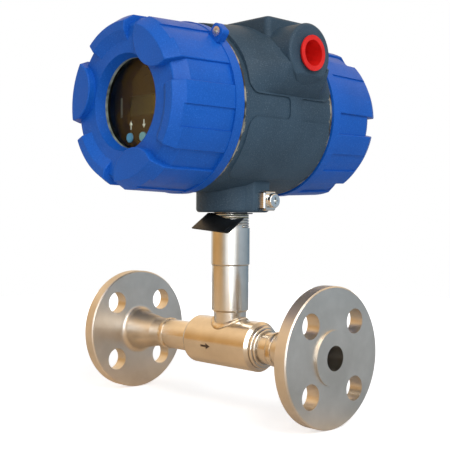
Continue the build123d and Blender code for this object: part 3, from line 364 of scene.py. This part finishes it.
tape = moulded("sealing_tape", srgb(150, 156, 128), srgb(204, 208, 184), 0.42, 0.0002)
arrow_ink = moulded("dark_etched_mark", srgb(58, 42, 30), srgb(74, 56, 40), 0.5)
white_ink = moulded("white_print", srgb(240, 246, 250), srgb(250, 252, 252), 0.45)
grey_ink = moulded("grey_print", srgb(96, 94, 88), srgb(108, 106, 100), 0.45)


# New pieces

def new_piece(name, shape, material, body, slot, *replaced):
    """Turns a finished bmesh into a piece that rides on a body of the model."""
    bmesh.ops.remove_doubles(shape, verts=shape.verts, dist=0.000001)
    bmesh.ops.recalc_face_normals(shape, faces=shape.faces)
    mesh = bpy.data.meshes.new(name)
    shape.to_mesh(mesh)
    shape.free()
    for face in mesh.polygons:
        face.use_smooth = True
    mesh.materials.append(material)
    piece = bpy.data.objects.new(name, mesh)
    bpy.context.scene.collection.objects.link(piece)
    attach(piece, body)
    if replaced:
        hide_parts(*replaced)


def oval_section(shape, radius_x, radius_z, centre):
    """Closed oval outline in the plane of X and Z."""
    made = bmesh.ops.create_circle(shape, segments=14, radius=1)
    matrix = Matrix.Translation(centre) @ Matrix.Diagonal((radius_x, 1, radius_z, 1))
    matrix = matrix @ Matrix.Rotation(math.radians(90), 4, "X")
    bmesh.ops.transform(shape, matrix=matrix, verts=made["verts"])


def spin_round(shape, axis, steps):
    """Turns a section once round an axis through the origin, closed where it meets itself."""
    bmesh.ops.spin(
        shape, geom=shape.verts[:] + shape.edges[:] + shape.faces[:], cent=(0, 0, 0), axis=axis,
        angle=math.tau, steps=steps, use_merge=True,
    )


def thicken(shape, thickness):
    """Gives flat faces in the plane of X and Y a thickness along Z."""
    raised = bmesh.ops.extrude_face_region(shape, geom=shape.faces[:])
    tops = [item for item in raised["geom"] if isinstance(item, bmesh.types.BMVert)]
    bmesh.ops.translate(shape, verts=tops, vec=(0, 0, thickness))


def ripple(turn, strokes, seed):
    """Height of the overlapping strokes along a bead, from 0 to 1, never quite regular."""
    wander = 0.35 * math.sin(3 * turn + seed) + 0.25 * math.sin(7 * turn + 2 * seed)
    stroke = (turn * strokes / math.tau + wander) % 1.0
    return 1.0 - (2 * stroke - 1) ** 2


def hub_bead(end, seed):
    """Butt weld between a flange's hub and its pipe: a low oval ring with stroke marks."""
    low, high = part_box(f"{end}_hub_weld")
    centre_x = (low.x + high.x) / 2
    half_length = (high.x - low.x) / 2 * 0.92
    crown = (high.z - pipe_r) * 0.95
    strokes = 34
    stroke_height = 0.07 * mm
    shape = bmesh.new()
    oval_section(shape, half_length, crown, (centre_x, 0, pipe_r))
    spin_round(shape, (1, 0, 0), 240)
    for vert in shape.verts:
        turn = math.atan2(vert.co.z, vert.co.y)
        out = math.hypot(vert.co.y, vert.co.z)
        lift = stroke_height * (ripple(turn, strokes, seed) - 0.5) if out > pipe_r else 0
        wide = 1 + 0.08 * math.sin(5 * turn + seed) + 0.05 * math.sin(11 * turn)
        scale = (out + lift) / out
        vert.co.y *= scale
        vert.co.z *= scale
        vert.co.x = centre_x + (vert.co.x - centre_x) * wide
    new_piece(f"{end}_hub_bead", shape, bead, "meter", "weld", f"{end}_hub_weld")


hub_bead("inlet", 0.4)
hub_bead("outlet", 1.9)


def fillet_bead(end, outward, seed):
    """Fillet weld at an end of the flow body: two passes side by side, dressed like the pipe."""
    low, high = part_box(f"{end}_body_weld")
    leg = high.x - low.x
    face = high.x if outward < 0 else low.x
    strokes = 46
    stroke_height = 0.05 * mm
    shape = bmesh.new()
    oval_section(shape, leg * 0.42, leg * 0.42, (face + outward * leg * 0.3, 0, pipe_r + leg * 0.52))
    oval_section(shape, leg * 0.44, leg * 0.34, (face + outward * leg * 0.62, 0, pipe_r + leg * 0.16))
    spin_round(shape, (1, 0, 0), 240)
    for vert in shape.verts:
        turn = math.atan2(vert.co.z, vert.co.y)
        out = math.hypot(vert.co.y, vert.co.z)
        lift = stroke_height * (ripple(turn, strokes, seed + 3 * out / leg) - 0.6)
        vert.co.y *= (out + lift) / out
        vert.co.z *= (out + lift) / out
        vert.co.x += outward * stroke_height * math.sin(9 * turn + seed)
    new_piece(f"{end}_body_bead", shape, steel_pipe, "meter", "weld", f"{end}_body_weld")


fillet_bead("inlet", -1, 0.8)
fillet_bead("outlet", 1, 2.6)


def neck_bead():
    """Weld round the spigot, following the saddle of the round flow body."""
    half_width = 1.5 * mm
    half_height = 1.1 * mm
    rise = 0.55 * mm
    strokes = 40
    stroke_height = 0.06 * mm
    wander = 0.1 * mm
    shape = bmesh.new()
    oval_section(shape, half_width, half_height, (spigot_r + half_width / 2, 0, 0))
    spin_round(shape, (0, 0, 1), 260)
    for vert in shape.verts:
        turn = math.atan2(vert.co.y, vert.co.x)
        reach = math.hypot(vert.co.x, vert.co.y)
        saddle = math.sqrt(body_r**2 - (reach * math.sin(turn)) ** 2)
        lump = stroke_height * (ripple(turn, strokes, 0.3) - 0.5) + wander * math.sin(4 * turn + 1)
        vert.co.x *= (reach + lump) / reach
        vert.co.y *= (reach + lump) / reach
        vert.co.z += saddle + rise + lump
        vert.co.x += stem_x
    new_piece("neck_bead", shape, bead, "meter", "weld", "neck_weld")


neck_bead()


# Exposed, tapered end of the neck, from the spacer tube up to the case
thread_bottom = 79.2 * mm
thread_top = 89.6 * mm
thread_pitch = 1.81 * mm
thread_start_r = 11.9 * mm
thread_taper = 0.65 / 21.8  # radius lost over height
ridge_r = 12 * mm  # radius at which the ridge is wound, before it follows the taper
ridge_height = 0.62 * mm
ridge_half_width = 0.84 * mm
ridge_out = 0.45 * mm  # middle of the ridge outside the root
ridge_start = thread_bottom + 0.9 * mm
turns_without_ridge = 0.9


def thread_root(height):
    """Radius of the tapered end of the neck at this height."""
    return thread_start_r - thread_taper * (height - thread_bottom)


def neck_thread():
    """Exposed turns of the neck's thread, wound as a ridge on the adapter's tapered end."""
    turns = (thread_top - thread_bottom) / thread_pitch - turns_without_ridge
    steps_each = 72
    shape = bmesh.new()
    ridge = bmesh.ops.create_circle(shape, cap_ends=True, segments=6, radius=1)["verts"]
    for vert in ridge:
        across, out = vert.co.x, vert.co.y
        vert.co = (ridge_r + ridge_height * out, 0, ridge_start + ridge_half_width * across)
    bmesh.ops.spin(
        shape, geom=shape.faces[:] + shape.edges[:] + shape.verts[:], cent=(0, 0, 0), axis=(0, 0, 1),
        dvec=(0, 0, thread_pitch / steps_each), angle=turns * math.tau, steps=round(turns * steps_each),
    )
    for vert in shape.verts:
        grow = (thread_root(vert.co.z) + ridge_out) / ridge_r
        vert.co.x *= grow
        vert.co.y *= grow
        vert.co.x += stem_x
    new_piece("neck_thread", shape, steel_neck, "meter", "stainless")


neck_thread()


tape_r = 12.1 * mm
tape_half_thick = 0.12 * mm
tape_fray = 0.25 * mm


def sealing_wrap():
    """Sealing tape wound on the thread: it sinks between the ridges and frays at its edges."""
    low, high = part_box("thread_tape")
    half = (high.z - low.z) / 2
    middle_z = (low.z + high.z) / 2
    shape = bmesh.new()
    grid = bmesh.ops.create_grid(shape, x_segments=2, y_segments=22, size=1)["verts"]
    for vert in grid:
        vert.co = (tape_r + tape_half_thick * vert.co.x, 0, middle_z + vert.co.y * half)
    spin_round(shape, (0, 0, 1), 160)
    for vert in shape.verts:
        turn = math.atan2(vert.co.y, vert.co.x)
        out = math.hypot(vert.co.x, vert.co.y)
        wave = math.cos(math.tau * (vert.co.z - thread_bottom) / thread_pitch - turn)
        crease = 0.05 * math.sin(9 * turn + 900 * vert.co.z) + 0.04 * math.sin(23 * turn - 2100 * vert.co.z)
        rise = thread_root(vert.co.z) - thread_root(middle_z) + (0.2 * wave + crease) * mm
        vert.co.x *= (out + rise) / out
        vert.co.y *= (out + rise) / out
        past_middle = vert.co.z - middle_z
        if abs(past_middle) > 0.9 * half:
            fray = tape_fray * (1 + math.sin(5 * turn + 1) * math.cos(13 * turn))
            vert.co.z -= math.copysign(fray, past_middle)
        vert.co.x += stem_x
    new_piece("sealing_wrap", shape, tape, "meter", "sealing_tape", "thread_tape")


sealing_wrap()


# Printed marks

def arrow_shape(length, shaft_width, head_length, head_width, thickness):
    """Flat arrow along X, centred at the origin, with its thickness along Z."""
    shape = bmesh.new()
    head = bmesh.ops.create_circle(shape, cap_ends=True, segments=3, radius=1)["verts"]
    tip = max(head, key=lambda vert: vert.co.y)
    for vert in head:
        if vert is tip:
            vert.co.x, vert.co.y = length / 2, 0
        else:
            vert.co.x, vert.co.y = length / 2 - head_length, math.copysign(head_width / 2, vert.co.x)
    shaft = bmesh.ops.create_grid(shape, x_segments=8, y_segments=2, size=0.5)["verts"]
    shaft_length = length - head_length
    for vert in shaft:
        vert.co.x = vert.co.x * shaft_length - length / 2 + shaft_length / 2
        vert.co.y *= shaft_width
    thicken(shape, thickness)
    return shape


def join_shapes(parts):
    """One bmesh with the geometry of several."""
    whole = bmesh.new()
    for part in parts:
        mesh = bpy.data.meshes.new("part")
        part.to_mesh(mesh)
        part.free()
        whole.from_mesh(mesh)
        bpy.data.meshes.remove(mesh)
    return whole


flow_arrow_x = 103.2 * mm
flow_arrow_turn = math.radians(-6)  # below the middle of the body's side
print_lift = 0.01 * mm


def flow_arrow():
    """Dark arrow marked on the side of the flow body, pointing to the outlet."""
    shape = arrow_shape(
        length=9.2 * mm, shaft_width=1.4 * mm, head_length=4.2 * mm, head_width=4.0 * mm, thickness=0.04 * mm
    )
    bmesh.ops.subdivide_edges(shape, edges=shape.edges[:], cuts=2, use_grid_fill=True)
    for vert in shape.verts:
        around = flow_arrow_turn + vert.co.y / body_r
        reach = body_r + vert.co.z + print_lift
        vert.co = (flow_arrow_x + vert.co.x, -reach * math.cos(around), reach * math.sin(around))
    new_piece("flow_arrow", shape, arrow_ink, "meter", "stainless")


flow_arrow()


# Marks on the display: their thickness, their distance before the fascia and, from its middle, their places
mark_thick = 0.05 * mm
mark_lift = 0.06 * mm
up_arrow_at = (-15.1 * mm, -12.0 * mm, 0)
down_arrow_at = (-2.0 * mm, -11.8 * mm, 0)
bar_at = (-24.8 * mm, -0.2 * mm, 0)
bar_size = (1.9 * mm, 13 * mm)


def mark_display(name, shape, ink):
    """Lays a mark, drawn round the middle of the display, on the fascia."""
    face_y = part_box("display_fascia")[0].y - mark_lift
    for vert in shape.verts:
        vert.co = (stem_x + vert.co.x, face_y + vert.co.z, head_z + vert.co.y)
    new_piece(name, shape, ink, "meter", "fascia_plastic")


def display_arrows():
    """Up and down arrows over the two buttons."""
    arrows = []
    for turn, place in ((90, up_arrow_at), (-90, down_arrow_at)):
        arrow = arrow_shape(
            length=5.6 * mm, shaft_width=1.0 * mm, head_length=2.6 * mm, head_width=3.3 * mm,
            thickness=mark_thick,
        )
        upright = Matrix.Rotation(math.radians(turn), 3, "Z")
        bmesh.ops.rotate(arrow, verts=arrow.verts, cent=(0, 0, 0), matrix=upright)
        bmesh.ops.translate(arrow, verts=arrow.verts, vec=place)
        arrows.append(arrow)
    mark_display("display_arrows", join_shapes(arrows), white_ink)


def display_bar():
    """Pale bar beside the screen."""
    strip = bmesh.new()
    bmesh.ops.create_grid(strip, x_segments=1, y_segments=6, size=0.5)
    bmesh.ops.scale(strip, verts=strip.verts, vec=(*bar_size, 1))
    thicken(strip, mark_thick)
    bmesh.ops.translate(strip, verts=strip.verts, vec=bar_at)
    mark_display("display_bar", strip, grey_ink)


display_arrows()
display_bar()


# Camera, fitted to the two flanges in the photograph

camera_focal_px = 880.98
image_px = 450
camera_place = Vector((0.54342, -0.42695, 0.08914))
camera_azimuth = math.radians(45.746)
camera_pitch = math.radians(-0.761)
camera_roll = math.radians(0.288)


def make_camera():
    """The photograph's camera: its place, its three turns and its focal length."""
    forward = Vector((
        -math.sin(camera_azimuth) * math.cos(camera_pitch),
        math.cos(camera_azimuth) * math.cos(camera_pitch),
        math.sin(camera_pitch),
    ))
    level_right = Vector((math.cos(camera_azimuth), math.sin(camera_azimuth), 0))
    level_up = level_right.cross(forward)
    right = math.cos(camera_roll) * level_right + math.sin(camera_roll) * level_up
    up = math.cos(camera_roll) * level_up - math.sin(camera_roll) * level_right
    data = bpy.data.cameras.new("photo_camera")
    data.sensor_width = 36
    data.lens = camera_focal_px / image_px * data.sensor_width
    data.clip_start = 0.01
    camera = bpy.data.objects.new("photo_camera", data)
    turn = Matrix((right, up, -forward)).transposed().to_4x4()
    camera.matrix_world = Matrix.Translation(camera_place) @ turn
    bpy.context.scene.collection.objects.link(camera)
    bpy.context.scene.camera = camera


make_camera()


# Floor, backdrop light and lamps

def seen_rays(look, reflected):
    """1 for the rays of the camera and of clear glass, a share for reflections, 0 for the light on things."""
    path = look.node("ShaderNodeLightPath")
    total = path.outputs["Is Camera Ray"]
    for kind, share in (("Is Glossy Ray", reflected), ("Is Transmission Ray", 1.0)):
        plus = look.node("ShaderNodeMath", operation="MULTIPLY_ADD", use_clamp=True)
        look.feed(plus.inputs[0], path.outputs[kind])
        look.feed(plus.inputs[1], share)
        look.feed(plus.inputs[2], total)
        total = plus.outputs[0]
    return total


floor_half = 0.8
floor_gap = 0.3 * mm
floor_low_white = (0.8, 0.8, 0.8, 1)
floor_high_white = (0.83, 0.83, 0.83, 1)
floor_tan = (0.9, 0.6, 0.32, 1)
floor_grey = (0.38, 0.42, 0.46, 1)


def floor_finish():
    """Matt white that brightens outwards; metal shows it tan on the left and grey on the right."""
    look = Finish("white_floor")
    x, y = look.axis("X"), look.axis("Y")
    matt = look.blend(look.noise(40, 2), floor_low_white, floor_high_white)
    to_right = look.maths("ADD", look.maths("MULTIPLY", x, 0.7), look.maths("MULTIPLY", y, 0.7))
    right = look.span(to_right, 0.05, 0.22, smooth=True)
    in_metal = look.blend(right, floor_tan, floor_grey)
    reflected = look.node("ShaderNodeLightPath").outputs["Is Glossy Ray"]
    look.set(Base_Color=look.blend(reflected, matt, in_metal))
    look.set(Roughness=0.9, Specular_IOR_Level=0.1)
    out = look.distance_from(look.maths("SUBTRACT", x, stem_x), y)
    lift = look.span(out, 0.16, 0.6, 0.6, 1.0, smooth=True)
    glow = look.node("ShaderNodeEmission")
    look.feed(glow.inputs["Strength"], look.maths("MULTIPLY", lift, seen_rays(look, 0.15)))
    both = look.node("ShaderNodeAddShader")
    look.feed(both.inputs[0], look.shader.outputs[0])
    look.feed(both.inputs[1], glow.outputs[0])
    look.feed(look.tree.nodes["Material Output"].inputs["Surface"], both.outputs[0])
    return look.material


def pale_floor():
    """Plain floor: it keeps the shadow near the meter and turns into the white backdrop further out."""
    shape = bmesh.new()
    bmesh.ops.create_grid(shape, x_segments=1, y_segments=1, size=floor_half)
    bmesh.ops.translate(shape, verts=shape.verts, vec=(stem_x, 0, cad_low.z - floor_gap))
    mesh = bpy.data.meshes.new("floor")
    shape.to_mesh(mesh)
    shape.free()
    mesh.materials.append(floor_finish())
    floor = bpy.data.objects.new("floor", mesh)
    bpy.context.scene.collection.objects.link(floor)


pale_floor()

# The room as polished metal shows it, going round from straight behind the meter, over the left side,
# the side of the camera and the right side, back to straight behind: share of the turn and colour.
room_round = (
    (0.00, (1.00, 1.00, 1.00)),
    (0.10, (0.95, 0.93, 0.90)),
    (0.16, (0.68, 0.41, 0.16)),
    (0.26, (0.84, 0.46, 0.16)),
    (0.34, (0.68, 0.42, 0.18)),
    (0.40, (0.62, 0.58, 0.52)),
    (0.44, (1.55, 1.60, 1.70)),
    (0.57, (1.75, 1.82, 1.95)),
    (0.61, (0.62, 0.60, 0.58)),
    (0.66, (0.52, 0.62, 0.74)),
    (0.80, (0.36, 0.46, 0.56)),
    (0.90, (0.15, 0.24, 0.34)),
    (0.96, (1.00, 1.00, 1.00)),
)

# The ceiling as metal shows it: from and up to what height of the direction, and colour.
ceiling = (
    (0.10, 0.68, (1.45, 1.02, 0.60)),
    (0.66, 0.94, (0.52, 0.44, 0.35)),
)
plain_light = (0.44, 0.45, 0.46, 1)
white = (1.0, 1.0, 1.0, 1)


def world_light():
    """White backdrop, a plain even light, and for metal and glass the room with its warm and cool sides."""
    world = bpy.data.worlds.new("studio")
    bpy.context.scene.world = world
    world.use_nodes = True
    world.node_tree.nodes.clear()
    sky = Nodes(world.node_tree)
    direction = sky.node("ShaderNodeTexCoord").outputs["Generated"]

    def towards(axis):
        """How far the direction of a ray goes along an axis."""
        made = sky.node("ShaderNodeVectorMath", operation="DOT_PRODUCT")
        sky.feed(made.inputs[0], direction)
        sky.feed(made.inputs[1], axis)
        return made.outputs["Value"]

    to_right = towards((math.cos(camera_azimuth), math.sin(camera_azimuth), 0))
    to_camera = towards((math.sin(camera_azimuth), -math.cos(camera_azimuth), 0))
    turn = sky.maths("MULTIPLY", sky.maths("ARCTAN2", to_right, to_camera), 1 / math.tau)
    ramp = sky.node("ShaderNodeValToRGB")
    ramp.color_ramp.interpolation = "EASE"
    stops = ramp.color_ramp.elements
    stops.remove(stops[1])
    for share, colour in room_round:
        stop = stops[0] if share == 0 else stops.new(share)
        stop.color = (*colour, 1)
    sky.feed(ramp.inputs["Fac"], sky.maths("ADD", turn, 0.5))
    room = ramp.outputs["Color"]
    up = towards((0, 0, 1))
    for low, high, colour in ceiling:
        room = sky.blend(sky.span(up, low, high, smooth=True), room, (*colour, 1))
    path = sky.node("ShaderNodeLightPath").outputs
    lit = sky.blend(path["Is Glossy Ray"], plain_light, room)
    bounces = sky.maths("ADD", path["Diffuse Depth"], path["Glossy Depth"])
    unbounced = sky.maths("LESS_THAN", bounces, 0.5)
    through_glass = sky.maths("MULTIPLY", path["Is Transmission Ray"], unbounced)
    seen = sky.maths("MAXIMUM", path["Is Camera Ray"], through_glass)
    light = sky.node("ShaderNodeBackground")
    sky.feed(light.inputs["Color"], sky.blend(seen, lit, white))
    out = sky.node("ShaderNodeOutputWorld")
    sky.feed(out.inputs["Surface"], light.outputs[0])


world_light()

lamp_aim = Vector((stem_x, 0, 0.1))


def lamp(name, place, size, power, colour, in_reflections=True):
    """Rectangular lamp aimed at the meter, never seen by the camera itself."""
    data = bpy.data.lights.new(name, "AREA")
    data.shape = "RECTANGLE"
    data.size, data.size_y = size
    data.energy = power
    data.color = colour
    holder = bpy.data.objects.new(name, data)
    turn = (lamp_aim - Vector(place)).to_track_quat("-Z", "Y").to_matrix().to_4x4()
    holder.matrix_world = Matrix.Translation(place) @ turn
    holder.visible_camera = False
    holder.visible_glossy = in_reflections
    bpy.context.scene.collection.objects.link(holder)


lamp("key_softbox", place=(1.45, -0.5, 1.3), size=(0.9, 0.9), power=15.5, colour=(1, 0.99, 0.97))
lamp("camera_strip", place=(1.2, -0.92, 0.25), size=(0.4, 1.1), power=5.5, colour=(1, 1, 1))
lamp(
    "warm_wall", place=(-1.1, -0.9, 0.5), size=(1.0, 0.8), power=3.0, colour=(1, 0.62, 0.32),
    in_reflections=False,
)

bpy.context.scene.view_settings.view_transform = "Standard"
